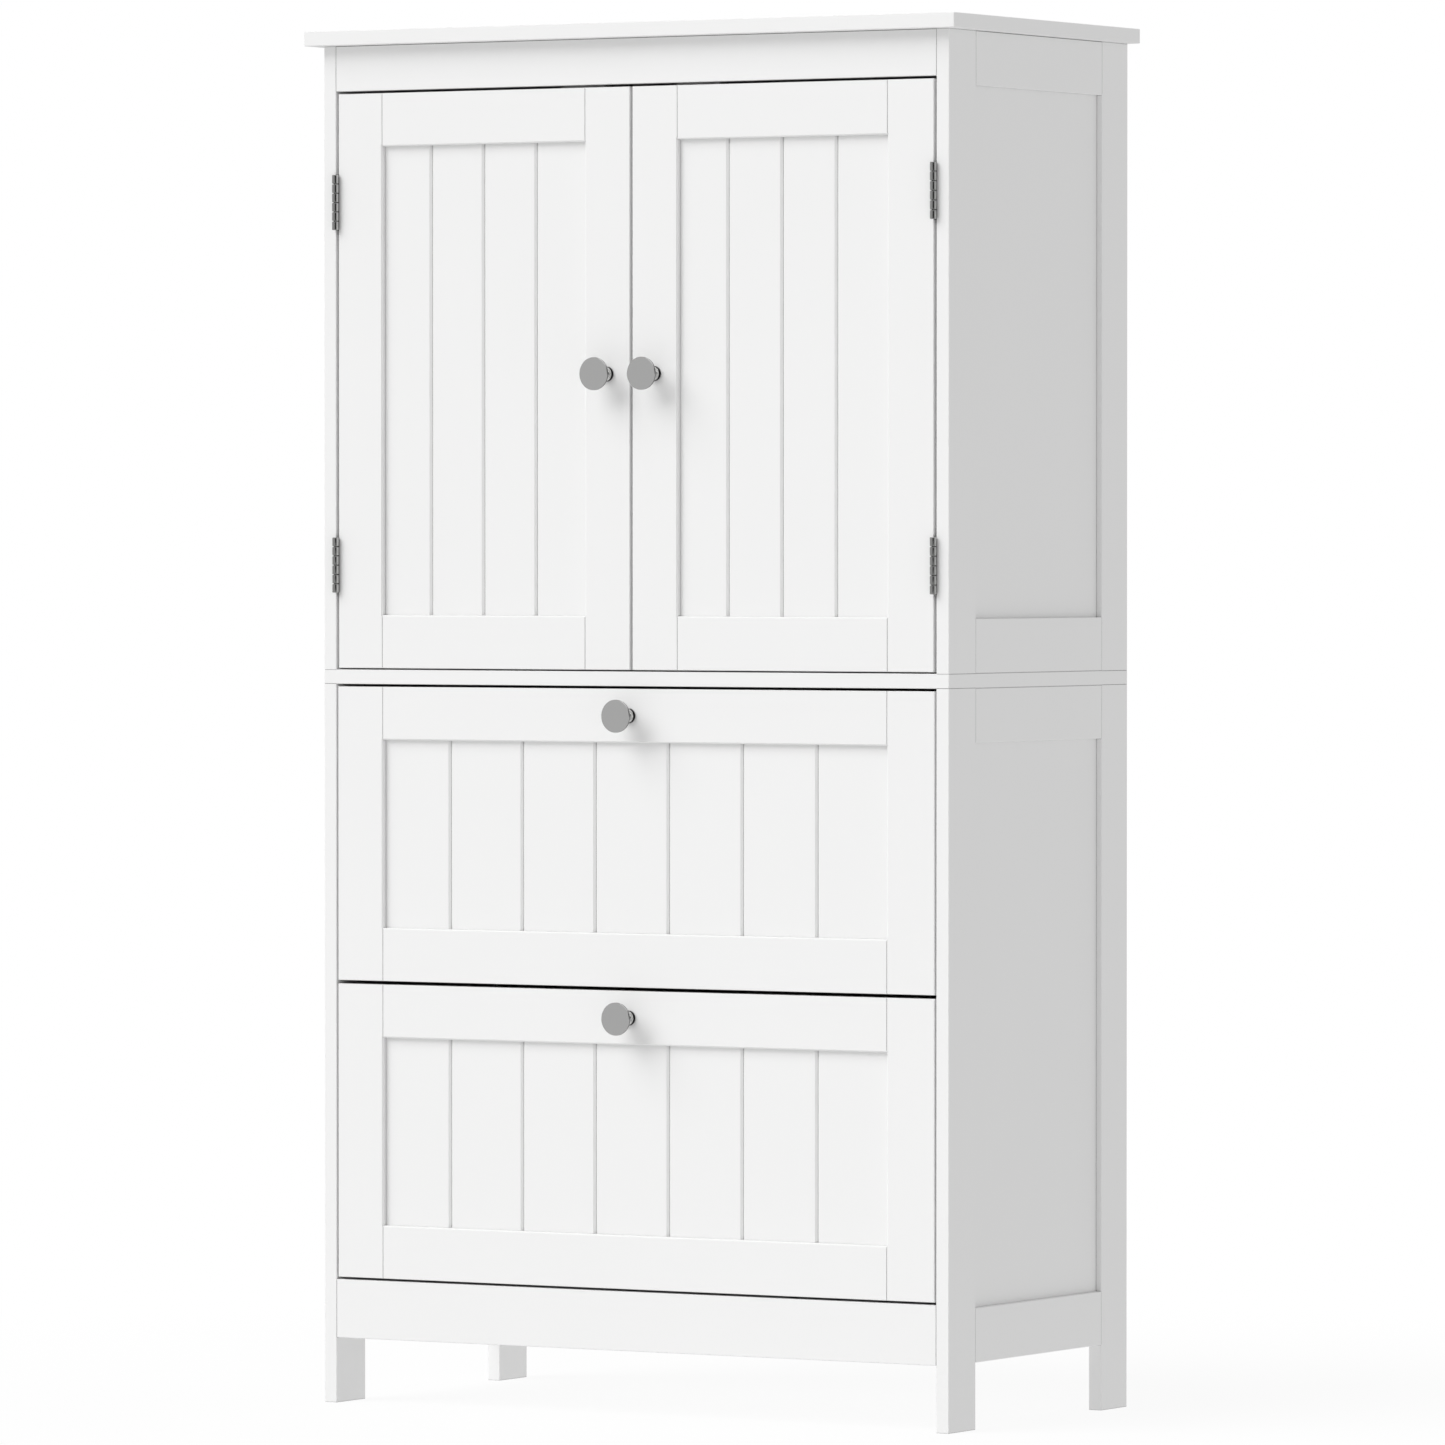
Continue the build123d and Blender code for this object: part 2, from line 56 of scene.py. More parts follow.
DOORS = ("left_door", "right_door")
DRAWERS = ("upper_drawer", "lower_drawer")
FRONTS = DOORS + DRAWERS
SIDES = (("left", -1), ("right", 1))
TO_FRONT = Vector((0, -1, 0))
TO_BACK = Vector((0, 1, 0))
SMOOTH_BELOW = radians(32)  # edges flatter than this are shaded smooth
SLIVER = 0.000001  # corners closer than this become one after a cut
SHY = 0.00003  # a part joined to another stays this far inside its faces
POLISHED = 0.10  # roughness of the plating on knobs and hinges
BRUSHED = 0.25  # roughness of the knobs' edges
TURNED = 0.3  # roughness of screws
PRESSED = 0.32  # roughness of plates and pins
DRAWN = 0.35  # roughness of nails
LEAF_EASE = 0.12  # radius of a leaf's edges, as a share of its thickness


# ---- settings ----
def setting(kind, **usual):
    """A short way to write one kind of property, whose usual values may be changed."""
    return lambda name, description, default, **own: kind(
        name=name, description=description, default=default, **{**usual, **own})


length = setting(FloatProperty, unit="LENGTH", precision=5, min=0)
angle = setting(FloatProperty, subtype="ANGLE")
amount = setting(FloatProperty, min=0)
number = setting(IntProperty)
colour = setting(FloatVectorProperty, subtype="COLOR", size=3, min=0, max=1)
way = setting(FloatVectorProperty, subtype="XYZ", size=3)


class FinishSettings(PropertyGroup):
    """Colours and roughness of the boards' coats."""

    lacquer: colour("Lacquer", "Sprayed lacquer of the frames and panels", (0.86, 0.86, 0.858))
    box_lacquer: colour("Drawer lacquer", "Thinner lacquer of the drawer boxes", (0.82, 0.82, 0.81))
    hardboard: colour("Coated hardboard", "Back panels and drawer bottoms", (0.80, 0.80, 0.79))
    beech: colour("Waxed beech", "Drawer runners", (0.56, 0.36, 0.19))
    satin: amount("Lacquer roughness", "Roughness of the satin lacquer", 0.42, max=1)
    box_satin: amount("Drawer lacquer roughness", "Roughness of the drawer boxes", 0.54, max=1)


class MetalSettings(PropertyGroup):
    """Colours of the metal, magnets and plastic of the fittings."""

    nickel: colour("Nickel", "Faces and necks of the knobs", (0.80, 0.80, 0.795))
    # The knobs' edges get a dark colour that stands in for a dark reflection: a painted reflection.
    knob_edge: colour("Knob edge", "Dark edges of the knobs' discs", (0.20, 0.20, 0.20))
    # The knobs' base rings are painted near black: painted shade and a painted dark reflection.
    base_painted_dark: colour("Blackened base", "Base rings of the knobs", (0.004, 0.004, 0.004))
    hinge: colour("Hinge plating", "Hinges and their screws", (0.50, 0.50, 0.495))
    zinc: colour("Zinc", "Other screws, plates, pins and nails", (0.80, 0.81, 0.82))
    magnet: colour("Magnet", "Ferrite magnets of the catches", (0.045, 0.043, 0.042))
    plastic: colour("Catch plastic", "Cases of the catches", (0.82, 0.82, 0.81))


class FittingSettings(PropertyGroup):
    """Sizes of the turned and pressed fittings, beyond those that the frame gives."""

    sides: number("Sides", "Facets round a turned piece", 96, min=12, max=256)
    knob_rim: length("Knob rim", "Thickness of the disc at its edge", 0.0020)
    knob_bevel: length("Knob bevel", "Width of the bevel round the disc's face", 0.0003)
    knob_bevel_turn: angle("Knob bevel's turn", "Between the disc's face and its bevel", radians(36))
    knob_ease: length("Knob ease", "Radius of the base ring's and the disc's edges", 0.0004)
    knob_crease: length("Knob crease", "Radius of the two edges of the bevel", 0.00012)
    knob_base: length("Knob base", "Radius of the base ring", 0.0064)
    knob_base_height: length("Knob base height", "Height of the base ring", 0.0036)
    knob_neck: length("Knob neck", "Radius of the neck", 0.0042)
    knob_flare: length("Knob flare", "Radius of the curve from the neck to the disc", 0.0065)
    knob_bore: length("Knob bore", "Radius of the threaded hole", 0.00205)
    knob_bore_depth: length("Knob bore depth", "Depth of the threaded hole", 0.013)
    shank: length("Shank", "Radius of the knob screws' shanks", 0.002)
    head_height: length("Screw head", "Height of the knob screws' heads", 0.0024)
    hinge_height: length("Hinge height", "Height of a leaf", 0.050)
    knuckles: number("Knuckles", "Knuckles of one hinge", 6, min=2, max=12)
    knuckle_gap: length("Knuckle gap", "Space between two knuckles", 0.0005)
    barrel: length("Barrel", "Radius of the hinge's barrel", 0.003)
    bore_play: length("Bore play", "Between the pin and its bore", 0.00005)
    leaf: length("Leaf", "Thickness of a leaf", 0.00085)
    leaf_width: length("Leaf width", "Width of a leaf", 0.013)
    leaf_hole: length("Leaf hole", "Radius of a leaf's screw holes", 0.0016)
    leaf_sink: length("Leaf countersink", "Radius of their countersinks", 0.0024)
    leaf_hole_pitch: length("Leaf hole pitch", "From one hole to the other", 0.028)
    catch_ear: length("Catch ear", "Thickness of a catch's ears", 0.003)
    catch_core: length("Catch core", "Width of a catch's case between its ears", 0.028)
    catch_slot: length("Catch slot", "Radius of the ears' slots", 0.0018)
    catch_slot_length: length("Catch slot length", "Length of the ears' slots", 0.006)
    strike_hole_pitch: length("Strike hole pitch", "From one screw to the other", 0.020)
    pin_tongue_length: length("Pin tongue length", "How far a shelf pin's tongue stands out", 0.009)
    pin_tongue_width: length("Pin tongue width", "Width of a shelf pin's tongue", 0.010)
    pin_tongue_height: length("Pin tongue height", "Height of a shelf pin's tongue", 0.004)


class StudioSettings(PropertyGroup):
    """Camera, lamp, room and floor."""

    lens: amount("Lens", "Focal length on a 36 mm wide sensor", 252.48, unit="CAMERA")
    azimuth: angle("Camera azimuth", "How far to the right of straight ahead it stands", radians(30.711))
    elevation: angle("Camera elevation", "How far above the aim it stands", radians(1.0068))
    distance: length("Camera distance", "From the aim to the camera", 8.9753, min=1)
    aim_right: length("Aim to the right", "The aim's place right of the middle", 0.09476, min=-10)
    aim_height: length("Aim height", "The aim's height above the floor", 0.62055)
    room_light: amount("Room light", "Light of the room's walls, half way up", 0.545)
    room_slope: way("Room light's slope", "How the room's light grows along each axis", (0.08, 0.15, 0.0))
    floor_glow: amount("Floor glow", "Even light from the lit floor", 0.85)
    key_strength: amount("Key lamp", "Large soft lamp, far off at the upper left in front", 2.07)
    key_way: way("Key lamp's way", "Way from the cabinet to the lamp", (-0.44, -0.62, 0.65))
    key_width: angle("Key lamp's width", "Angle that the lamp spans", radians(48))
    flag_way: way("Dark flag's way", "Way to the dark flag that metal mirrors", (0.67, -1.0, 0.0))
    flag_width: angle("Dark flag's width", "Angle that the flag spans", radians(48))
    mirrored_room: amount("Mirrored room", "Its level, as metal and gloss mirror it", 0.465)
    box_way: way("Soft box's way", "Way to the soft box that edges mirror", (0.30, -0.30, 0.90))
    box_width: angle("Soft box's width", "Angle that the box spans", radians(60))
    box_level: amount("Soft box's level", "Its level, as metal and gloss mirror it", 1.0)
    floor_tone: colour("Floor", "Paper of the floor", (0.90, 0.90, 0.90))
    floor_white: amount("Floor's own white", "Share of pure white near the cabinet", 0.90, max=1)
    floor_near: length("Near floor", "How far out the floor starts to clear", 0.45)
    floor_clear: length("Clear floor", "How far out the floor is pure white", 1.3)


def fittings(context):
    """The sizes and the colours of the fittings."""
    return context.scene.cabinet_fittings, context.scene.cabinet_metal


# ---- shaping pieces ----
def only(piece):
    """Selects one object alone and makes it the active one."""
    bpy.ops.object.select_all(action="DESELECT")
    piece.select_set(True)
    bpy.context.view_layer.objects.active = piece


def named(name):
    """Names the object that was just made, and gives it."""
    bpy.context.object.name = name
    return bpy.context.object


def edit_all():
    """Starts edit mode on the active object, with all of it selected."""
    bpy.ops.object.mode_set(mode="EDIT")
    bpy.ops.mesh.select_all(action="SELECT")


def leave_edit():
    bpy.ops.object.mode_set(mode="OBJECT")


def choose(kind, test):
    """In edit mode, selects the corners, edges or faces that pass the test, and no others."""
    bpy.ops.mesh.select_all(action="DESELECT")
    bpy.ops.mesh.select_mode(type=kind)
    mesh = bmesh.from_edit_mesh(bpy.context.object.data)
    for item in {"VERT": mesh.verts, "EDGE": mesh.edges, "FACE": mesh.faces}[kind]:
        item.select_set(test(item))
    bmesh.update_edit_mesh(bpy.context.object.data)


def turned(name, outline, sides):
    """A solid round piece along Z, through the (radius, height) points of its outline."""
    radius, height = outline[0]
    bpy.ops.mesh.primitive_circle_add(vertices=sides, radius=radius, fill_type="NGON")
    piece = named(name)
    edit_all()
    bpy.ops.mesh.select_mode(type="FACE")
    bpy.ops.transform.translate(value=(0, 0, height))
    for next_radius, next_height in outline[1:]:
        bpy.ops.mesh.extrude_region_move(TRANSFORM_OT_translate={"value": (0, 0, next_height - height)})
        grow = next_radius / radius
        bpy.ops.transform.resize(value=(grow, grow, 1), center_override=(0, 0, next_height))
        radius, height = next_radius, next_height
    bpy.ops.mesh.select_all(action="SELECT")
    bpy.ops.mesh.normals_make_consistent(inside=False)
    leave_edit()
    return piece


def rounded(radius, height, rounding, start, end, steps=5):
    """Outline points on a rounding's arc about (radius, height), from one angle to another."""
    turns = [start + (end - start) * step / steps for step in range(steps + 1)]
    return [(radius + rounding * cos(turn), height + rounding * sin(turn)) for turn in turns]


def eased(radius, height, ease, steps=3):
    """The outline of a rod or a disc from height 0 up, with both of its rims rounded."""
    return [*rounded(radius - ease, ease, ease, -pi / 2, 0, steps),
            *rounded(radius - ease, height - ease, ease, 0, pi / 2, steps)]


def block(name, low, high):
    """A sharp-edged block between two corners, left in edit mode with all of it selected."""
    low, high = Vector(low), Vector(high)
    bpy.ops.mesh.primitive_cube_add(size=1, location=(low + high) / 2, scale=high - low)
    piece = named(name)
    bpy.ops.object.transform_apply()
    edit_all()
    return piece


def slab(name, low, high, ease):
    """A plate or bar between two corners, with all its edges eased."""
    piece = block(name, low, high)
    bpy.ops.mesh.bevel(offset=ease, segments=2, affect="EDGES")
    leave_edit()
    return piece


def settle(piece, place, facing=(0, 0, 1)):
    """Turns a piece made along Z to face a way, puts it in place, and writes both into its mesh."""
    only(piece)
    piece.location = place
    piece.rotation_euler = Vector(facing).to_track_quat("Z", "Y").to_euler()
    bpy.ops.object.transform_apply()
    return piece


def combine(piece, tool, operation="UNION"):
    """Joins a tool's shape to the piece, or cuts it out of it, and takes the tool away.

    Slivers that the cut leaves where two faces meet are merged away.
    """
    only(piece)
    change = piece.modifiers.new("combine", "BOOLEAN")
    change.operation = operation
    change.solver = "EXACT"
    change.object = tool
    bpy.ops.object.modifier_apply(modifier=change.name)
    bpy.data.objects.remove(tool)
    edit_all()
    bpy.ops.mesh.remove_doubles(threshold=SLIVER)
    bpy.ops.mesh.dissolve_degenerate(threshold=SLIVER)
    leave_edit()


def gather(name, pieces):
    """Joins pieces of one kind into one object, in which each stays a shell of its own."""
    only(pieces[0])
    for piece in pieces:
        piece.select_set(True)
    bpy.ops.object.join()
    return named(name)


def coat(mesh, material):
    """Gives a mesh one material."""
    mesh.materials.clear()
    mesh.materials.append(material)


def fit(piece, body, slot, material, *replaced):
    """Smooths and dresses a finished piece, and ties it to its body."""
    only(piece)
    bpy.ops.object.shade_smooth_by_angle(angle=SMOOTH_BELOW)
    flatter = piece.modifiers.new("flatter", "WEIGHTED_NORMAL")
    flatter.keep_sharp = True
    bpy.ops.object.modifier_apply(modifier=flatter.name)
    coat(piece.data, material)
    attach(piece, body)
    if replaced:
        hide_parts(*replaced)


def copies(name, pattern, places, *fitting):
    """Copies a pattern to each place and facing, as one fitted piece; the pattern stays."""
    made = []
    for place, facing in places:
        only(pattern)
        bpy.ops.object.duplicate(linked=False)
        made.append(settle(bpy.context.object, place, facing))
    piece = gather(name, made)
    fit(piece, *fitting)
    return piece


def cross_recess(screw, top, width):
    """Sinks a tapered cross into the head of a screw whose head ends at the height top."""
    depth, bar, taper = 0.45 * width, 0.2 * width, 0.5
    for length_x, length_y in ((width, bar), (bar, width)):
        corner = Vector((length_x / 2, length_y / 2, depth))
        middle = Vector((0, 0, top))
        tool = block("cross", middle - corner, middle + corner)
        choose("FACE", lambda face: face.normal.z < -0.5)
        bpy.ops.transform.resize(value=(taper, taper, 1), center_override=(0, 0, top - depth))
        leave_edit()
        combine(screw, tool, "DIFFERENCE")


def sunk_screw(name, head, shank, reach, sides):
    """A countersunk screw whose head is flush with height 0 and which points down."""
    sink = head - shank
    outline = [(0.3 * shank, -reach), (shank, -reach + 2 * shank), (shank, -sink),
               (head, -0.06 * head), (head, 0)]
    screw = turned(name, outline, sides)
    cross_recess(screw, 0, 1.25 * head)
    return screw


def domed_screw(name, head, height, shank, reach, sides):
    """A screw with a low domed head that stands on height 0, and a shank that points down."""
    edge, dome = 0.45 * height, 0.38 * head
    outline = [(0.7 * shank, -reach), (shank, -reach + 0.3 * shank), (shank, 0), (head, 0), (head, edge)]
    outline += [(head - dome * (1 - cos(turn)), edge + (height - edge) * sin(turn))
                for turn in (radians(30), radians(60), radians(90))]
    screw = turned(name, outline, sides)
    cross_recess(screw, height, 1.05 * head)
    return screw


# ---- building materials ----
class Recipe:
    """The nodes of a new material or world, and short ways to add and join them."""

    def __init__(self, name, kind="materials"):
        self.owner = getattr(bpy.data, kind).new(name)
        self.owner.use_nodes = True
        self.nodes = self.owner.node_tree.nodes

    def feed(self, node, inputs):
        """Joins a node's inputs to sockets, or sets them to values."""
        for word, value in inputs.items():
            if isinstance(value, bpy.types.NodeSocket):
                self.owner.node_tree.links.new(value, node.inputs[word])
            else:
                node.inputs[word].default_value = value

    def node(self, kind, inputs, output=0, **values):
        """Adds a shader node with its values and inputs, and gives one of its outputs."""
        made = self.nodes.new("ShaderNode" + kind)
        for word, value in values.items():
            setattr(made, word, value)
        self.feed(made, inputs)
        return made.outputs[output]

    def surface(self, colour, roughness, normal, more=None):
        """Feeds the material's shader, and gives the finished material."""
        self.feed(self.nodes["Principled BSDF"], {
            "Base Color": colour, "Roughness": roughness, "Normal": normal, **(more or {})})
        return self.owner

    def place(self, stretch=(1, 1, 1), centre=(0, 0, 0)):
        """Object coordinates, moved so that centre is the pattern's origin."""
        return self.node("Mapping", {
            "Vector": self.node("TexCoord", {}, "Object"), "Scale": stretch,
            "Location": [-c * s for c, s in zip(centre, stretch)]})

    def noise(self, scale, detail, stretch=(1, 1, 1), roughness=0.5):
        return self.node("TexNoise", {
            "Vector": self.place(stretch), "Scale": scale, "Detail": detail, "Roughness": roughness})

    def spread(self, value, low, high, start=0.3, end=0.7):
        """A value between start and end, spread from low to high."""
        return self.node("MapRange", {
            "Value": value, "From Min": start, "From Max": end, "To Min": low, "To Max": high})

    def tint(self, value, tone, first, second):
        """A tone times a factor, which goes from the first to the second with the value."""
        ramp = self.node("ValToRGB", {"Fac": value})
        for element, factor in zip(ramp.node.color_ramp.elements, (first, second)):
            element.color = (*(channel * factor for channel in tone), 1)
        return ramp

    def multiply(self, tone, other, share=1.0):
        return self.node("Mix", {0: share, 6: tone, 7: other}, 2, data_type="RGBA", blend_type="MULTIPLY")

    def painted_seam_shade(self, tone, depth, reach, own=False):
        """Paints shade into a colour: darker in seams and corners narrower than reach, or only in the
        piece's own.
        """
        near = self.node("AmbientOcclusion", {"Distance": reach}, "AO", samples=8, only_local=own)
        return self.multiply(tone, self.spread(near, 1 - depth, 1.0, start=0.35, end=0.95))

    def bumps(self, value, height, strength, under=None):
        normal = self.node("Bump", {"Height": value, "Distance": height, "Strength": strength})
        if under:
            self.feed(normal.node, {"Normal": under})
        return normal

    def math(self, operation, first, second):
        return self.node("Math", {0: first, 1: second}, operation=operation)

    def blend(self, share, first, second):
        """From the first shader to the second, with the share."""
        return self.node("MixShader", {0: share, 1: first, 2: second})

    def along(self, way):
        """How far each ray of the world points along a way."""
        ray = self.node("TexCoord", {}, "Generated")
        return self.node("VectorMath", {0: ray, 1: way}, "Value", operation="DOT_PRODUCT")

    def seen_rays(self):
        """1 on rays from the camera, and on those that metal or glass sends on; 0 on the others."""
        rays = self.node("LightPath", {}).node.outputs
        seen = self.math("MAXIMUM", rays["Is Camera Ray"], rays["Is Glossy Ray"])
        return self.math("MAXIMUM", seen, rays["Is Transmission Ray"])

    def seen_level(self, mirrored):
        """1 for the camera, and the mirrored level on rays that metal and gloss send on."""
        glossy = self.node("LightPath", {}, "Is Glossy Ray")
        return self.node("Mix", {0: glossy, 2: 1.0, 3: mirrored})


def lacquer(name, colour, roughness, own=False):
    """Sprayed satin lacquer: a faint orange peel, slow changes of sheen and of thickness.

    Painted shade darkens its seams; a panel shows this painted shade only in its own joints.
    """
    recipe = Recipe(name)
    clouds = recipe.noise(scale=6.0, detail=3.0)
    sheen = recipe.noise(scale=35.0, detail=4.0)
    peel = recipe.noise(scale=700.0, detail=1.0)
    tone = recipe.tint(clouds, colour, 0.992, 1.008)
    return recipe.surface(
        recipe.painted_seam_shade(tone, 0.75, 0.0009, own),
        recipe.spread(sheen, roughness - 0.04, roughness + 0.04),
        recipe.bumps(peel, height=0.00002, strength=0.5), {"IOR": 1.47})


def coated_hardboard(name, colour):
    """Hardboard with a thin white coat, through which the press screen's weave shows a little."""
    recipe = Recipe(name)
    clouds = recipe.noise(scale=20.0, detail=5.0)
    fibres = recipe.noise(scale=900.0, detail=3.0, stretch=(1, 1, 0.4))
    return recipe.surface(
        recipe.tint(clouds, colour, 0.97, 1.01), recipe.spread(fibres, 0.5, 0.65),
        recipe.bumps(fibres, height=0.00006, strength=0.6))


def waxed_beech(name, colour):
    """Straight-grained beech with its short dark flecks, running from the front to the back."""
    recipe = Recipe(name)
    grain = recipe.noise(scale=160.0, detail=6.0, stretch=(1, 0.06, 1), roughness=0.6)
    flecks = recipe.noise(scale=900.0, detail=2.0, stretch=(1, 0.25, 1))
    fleck_tone = (0.55, 0.42, 0.30, 1)
    fleck_share = recipe.spread(flecks, 0.0, 0.35, start=0.58, end=0.7)
    tone = recipe.tint(grain, colour, 0.78, 1.12)
    return recipe.surface(
        recipe.multiply(tone, fleck_tone, fleck_share), recipe.spread(grain, 0.42, 0.55),
        recipe.bumps(grain, height=0.00008, strength=0.6))


def plated_metal(name, colour, roughness, centre=(0, 0, 0), ring_pitch=0.0, stretch=(1, 1, 1), shade_reach=0.0):
    """Plated metal with fine polishing marks.

    A ring pitch adds turned rings about the centre, and a shade reach paints shade, as darker colour,
    into its own seams and those with its neighbours.
    """
    recipe = Recipe(name)
    tone = (*colour, 1)
    if shade_reach:
        tone = recipe.painted_seam_shade(tone, 0.9, shade_reach)
    marks = recipe.noise(scale=1500.0, detail=3.0, stretch=stretch)
    normal = recipe.bumps(marks, height=0.000004, strength=0.5)
    if ring_pitch:
        rings = recipe.node("TexWave", {
            "Vector": recipe.place(centre=centre), "Scale": pi / 10 / ring_pitch,
            "Distortion": 0.4}, "Fac", wave_type="RINGS", rings_direction="Y")
        normal = recipe.bumps(rings, height=0.000002, strength=0.5, under=normal)
    cloud = recipe.noise(scale=120.0, detail=3.0)
    return recipe.surface(tone, recipe.spread(cloud, roughness * 0.85, roughness * 1.2), normal,
                          {"Metallic": 1.0})


def painted_dark_metal(name, colour):
    """Near-black metal that paints in shade and a dark reflection, with a fine cloudy sheen."""
    recipe = Recipe(name)
    coating = recipe.noise(scale=300.0, detail=3.0)
    return recipe.surface(
        recipe.tint(coating, colour, 0.8, 1.3), recipe.spread(coating, 0.42, 0.5),
        recipe.bumps(coating, height=0.000005, strength=0.5), {"Specular IOR Level": 0.05})


def sintered_ferrite(name, colour):
    """Dark ceramic magnet with a dull ground face."""
    recipe = Recipe(name)
    grain = recipe.noise(scale=2500.0, detail=4.0)
    return recipe.surface(
        recipe.tint(grain, colour, 0.7, 1.5), recipe.spread(grain, 0.55, 0.75),
        recipe.bumps(grain, height=0.00002, strength=0.6))


def moulded_plastic(name, colour):
    """Spark-eroded mould texture on white plastic."""
    recipe = Recipe(name)
    grain = recipe.noise(scale=1800.0, detail=2.0)
    return recipe.surface(recipe.tint(grain, colour, 0.97, 1.0), 0.55,
                          recipe.bumps(grain, height=0.00003, strength=0.5))


def finish(node, material):
    """Gives a CAD node its material."""
    coat(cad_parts[node].data, material)


# ---- boards ----
LACQUERED = ("top_board", "middle_board", "fascia", "front_apron", "bottom_board", "catch_rail", "shelf")
FRAME_ENDS = ("front_post", "back_post", "front_leg", "back_leg")
SIDE_FRAMES = ("side_rails", "side_panel")


class CABINET_OT_lacquer_boards(Operator):
    """Lacquer the boards, posts, legs and side frames of the body, and the fronts."""

    bl_idname = "cabinet.lacquer_boards"
    bl_label = "Lacquer the boards"

    def execute(self, context):
        settings = context.scene.cabinet_finish
        frames = lacquer("satin_lacquer", settings.lacquer, settings.satin)
        panels = lacquer("panel_lacquer", settings.lacquer, settings.satin, own=True)
        nodes = list(LACQUERED)
        for word, _ in SIDES:
            nodes += [f"{word}_{part}" for part in FRAME_ENDS]
            nodes += [f"{level}_{word}_{part}" for level in ("upper", "lower") for part in SIDE_FRAMES]
        nodes += [f"{front}_{part}" for front in FRONTS for part in ("stiles", "rails", "boarding")]
        for node in nodes:
            finish(node, panels if node.endswith(("boarding", "side_panel")) else frames)
        return {"FINISHED"}


class CABINET_OT_finish_inside(Operator):
    """Finish the drawer boxes, the back panels and the runners."""

    bl_idname = "cabinet.finish_inside"
    bl_label = "Finish the inside"

    def execute(self, context):
        settings = context.scene.cabinet_finish
        box = lacquer("box_lacquer", settings.box_lacquer, settings.box_satin)
        board = coated_hardboard("coated_hardboard", settings.hardboard)
        for drawer in DRAWERS:
            finish(f"{drawer}_box_sides", box)
            finish(f"{drawer}_box_back", box)
            finish(f"{drawer}_box_bottom", board)
        finish("upper_back_panel", board)
        finish("lower_back_panel", board)
        finish("drawer_runners", waxed_beech("waxed_beech", settings.beech))
        return {"FINISHED"}


# ---- knobs ----
class CABINET_OT_knobs(Operator):
    """Turn the four knobs, each a disc with a bevelled edge on a flared neck and a base ring."""

    bl_idname = "cabinet.knobs"
    bl_label = "Turn the knobs"

    def execute(self, context):
        sizes, metal = fittings(context)
        low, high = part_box(f"{FRONTS[0]}_knob")
        pattern = turned("knob", self.outline(sizes, (high.x - low.x) / 2, high.y - low.y), sizes.sides)
        # Near-black metal for the base rings: painted shade and a painted dark reflection.
        base = painted_dark_metal("blackened_base", metal.base_painted_dark)
        # Dark metal for the disc's edge, a painted reflection.
        edge = plated_metal("knob_edge", metal.knob_edge, BRUSHED)
        for front in FRONTS:
            low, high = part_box(f"{front}_knob")
            foot = Vector(((low.x + high.x) / 2, high.y, (low.z + high.z) / 2))
            nickel = plated_metal(f"{front}_knob_nickel", metal.nickel, POLISHED, centre=foot,
                                  ring_pitch=0.0006)
            knob = copies(f"{front}_turned_knob", pattern, [(foot, TO_FRONT)], front,
                          "knob_metal", nickel, f"{front}_knob")
            # The base ring's faces get the near-black painted shade and dark reflection.
            self.dress(knob, base, lambda face: foot.y - face.calc_center_median().y
                       < sizes.knob_base_height - sizes.knob_ease / 2)
            # The faces at the disc's edge get the painted dark reflection.
            rim = (high.x - low.x) / 2 - sizes.knob_crease
            self.dress(knob, edge, lambda face: (face.calc_center_median() - foot).xz.length > rim)
        bpy.data.objects.remove(pattern)
        return {"FINISHED"}

    def outline(self, sizes, radius, reach):
        """From the bottom of the threaded hole, out over the base and the neck, to the disc."""
        rim_back, ease, crease = reach - sizes.knob_rim, sizes.knob_ease, sizes.knob_crease
        turn, bevel = sizes.knob_bevel_turn, sizes.knob_bevel
        base, neck, flare = sizes.knob_base, sizes.knob_neck, sizes.knob_flare
        return [(sizes.knob_bore, sizes.knob_bore_depth), (sizes.knob_bore, 0),
                *eased(base, sizes.knob_base_height, ease),
                *rounded(neck + ease, sizes.knob_base_height + ease, ease, -pi / 2, -pi, 3),
                *rounded(neck + flare, rim_back - flare, flare, pi, pi / 2, 12),
                *rounded(radius - ease, rim_back + ease, ease, -pi / 2, 0, 3),
                *rounded(radius - crease, reach - crease - bevel * tan(turn), crease, 0, pi / 2 - turn, 3),
                *rounded(radius - crease - bevel, reach - crease, crease, pi / 2 - turn, pi / 2, 2)]

    def dress(self, knob, material, test):
        """Gives the faces that pass the test another material than the rest."""
        knob.data.materials.append(material)
        only(knob)
        edit_all()
        choose("FACE", test)
        knob.active_material_index = len(knob.data.materials) - 1
        bpy.ops.object.material_slot_assign()
        leave_edit()


class CABINET_OT_knob_screws(Operator):
    """Fit the domed screws that hold the knobs from behind."""

    bl_idname = "cabinet.knob_screws"
    bl_label = "Fit the knob screws"

    def execute(self, context):
        sizes, metal = fittings(context)
        zinc = plated_metal("knob_screw_zinc", metal.zinc, TURNED)
        low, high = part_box(f"{FRONTS[0]}_knob_screw")
        pattern = domed_screw("knob_screw", (high.x - low.x) / 2, sizes.head_height, sizes.shank,
                              high.y - low.y - sizes.head_height, sizes.sides // 2)
        for front in FRONTS:
            low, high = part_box(f"{front}_knob_screw")
            seat = Vector(((low.x + high.x) / 2, high.y - sizes.head_height, (low.z + high.z) / 2))
            copies(f"{front}_domed_screw", pattern, [(seat, TO_BACK)], front, "screw_steel", zinc,
                   f"{front}_knob_screw")
        bpy.data.objects.remove(pattern)
        return {"FINISHED"}


# ---- hinges ----
def hinge_levels(sizes):
    """The lower end of the lower and of the upper hinge."""
    low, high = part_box("hinge_pins")
    return (("lower", low.z), ("upper", high.z - sizes.hinge_height))


